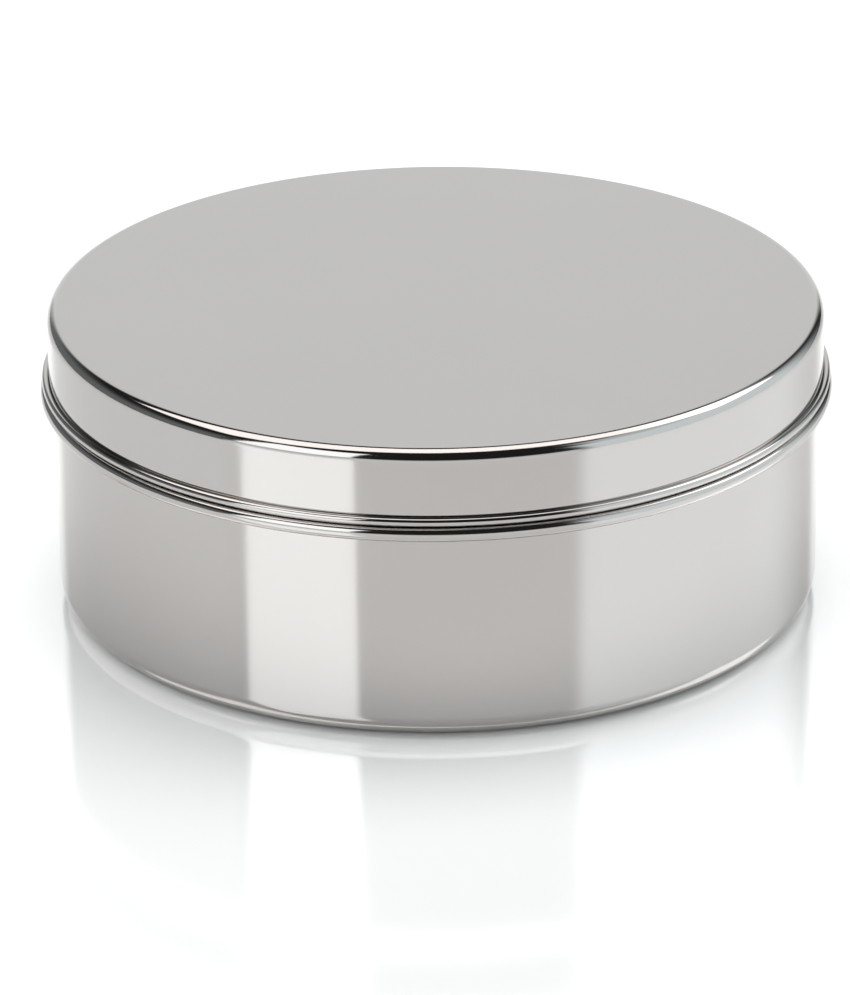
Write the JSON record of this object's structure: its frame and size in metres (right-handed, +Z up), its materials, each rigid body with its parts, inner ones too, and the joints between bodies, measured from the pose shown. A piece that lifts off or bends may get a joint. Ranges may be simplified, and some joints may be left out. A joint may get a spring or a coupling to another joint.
{
  "type": "spice box",
  "caption": "Round polished steel spice tin (masala dabba) with a slip-on lid, a flat inner lid with a folding pull, small cups and a spoon.",
  "frame": {"origin": "on the table under the centre of the tin's base", "axes": "+Z up through the lid; -Y towards the spoon's side, which the camera of the reference view faces"},
  "size_m": [0.206, 0.206, 0.0788],
  "materials": {
    "body_steel": "polished",
    "lid_steel": "polished",
    "inner_lid_steel": "polished",
    "pull_steel": "polished",
    "spoon_steel": "polished",
    "cup_steel": "polished"
  },
  "bodies": {
    "body": {"body": "body_steel"},
    "lid": {"lid": "lid_steel"},
    "inner_lid": {"inner_lid": "inner_lid_steel", "pull_strap": "pull_steel"},
    "pull_ring": {"pull_ring": "pull_steel"},
    "spoon": {"spoon": "spoon_steel"},
    "cup_centre": {"cup_centre": "cup_steel"},
    "cup_1": {"cup_1": "cup_steel"},
    "cup_2": {"cup_2": "cup_steel"},
    "cup_3": {"cup_3": "cup_steel"},
    "cup_4": {"cup_4": "cup_steel"},
    "cup_5": {"cup_5": "cup_steel"},
    "cup_6": {"cup_6": "cup_steel"}
  },
  "joints": [
    {"name": "lid_lift", "type": "slide", "parent": "body", "child": "lid", "axis": [0, 0, 1], "range_m": [0, 0.24]},
    {"name": "inner_lid_lift", "type": "slide", "parent": "body", "child": "inner_lid", "axis": [0, 0, 1], "range_m": [0, 0.168]},
    {"name": "pull_ring_fold", "type": "hinge", "parent": "inner_lid", "child": "pull_ring", "pos_m": [0, 0, 0.0529], "axis": [1, 0, 0], "range_deg": [0, 180]},
    {"name": "spoon_lift", "type": "slide", "parent": "inner_lid", "child": "spoon", "axis": [0, 0, 1], "range_m": [0, 0.0288]},
    {"name": "cup_centre_lift", "type": "slide", "parent": "body", "child": "cup_centre", "axis": [0, 0, 1], "range_m": [0, 0.0912]},
    {"name": "cup_1_lift", "type": "slide", "parent": "body", "child": "cup_1", "axis": [0, 0, 1], "range_m": [0, 0.0912]},
    {"name": "cup_2_lift", "type": "slide", "parent": "body", "child": "cup_2", "axis": [0, 0, 1], "range_m": [0, 0.0912]},
    {"name": "cup_3_lift", "type": "slide", "parent": "body", "child": "cup_3", "axis": [0, 0, 1], "range_m": [0, 0.0912]},
    {"name": "cup_4_lift", "type": "slide", "parent": "body", "child": "cup_4", "axis": [0, 0, 1], "range_m": [0, 0.0912]},
    {"name": "cup_5_lift", "type": "slide", "parent": "body", "child": "cup_5", "axis": [0, 0, 1], "range_m": [0, 0.0912]},
    {"name": "cup_6_lift", "type": "slide", "parent": "body", "child": "cup_6", "axis": [0, 0, 1], "range_m": [0, 0.0912]}
  ],
  "couplings": [
    {"joint": "inner_lid_lift", "follows": "lid_lift", "ratio": 0.7},
    {"joint": "spoon_lift", "follows": "lid_lift", "ratio": 0.12},
    {"joint": "cup_centre_lift", "follows": "lid_lift", "ratio": 0.38},
    {"joint": "cup_1_lift", "follows": "lid_lift", "ratio": 0.38},
    {"joint": "cup_2_lift", "follows": "lid_lift", "ratio": 0.38},
    {"joint": "cup_3_lift", "follows": "lid_lift", "ratio": 0.38},
    {"joint": "cup_4_lift", "follows": "lid_lift", "ratio": 0.38},
    {"joint": "cup_5_lift", "follows": "lid_lift", "ratio": 0.38},
    {"joint": "cup_6_lift", "follows": "lid_lift", "ratio": 0.38}
  ]
}
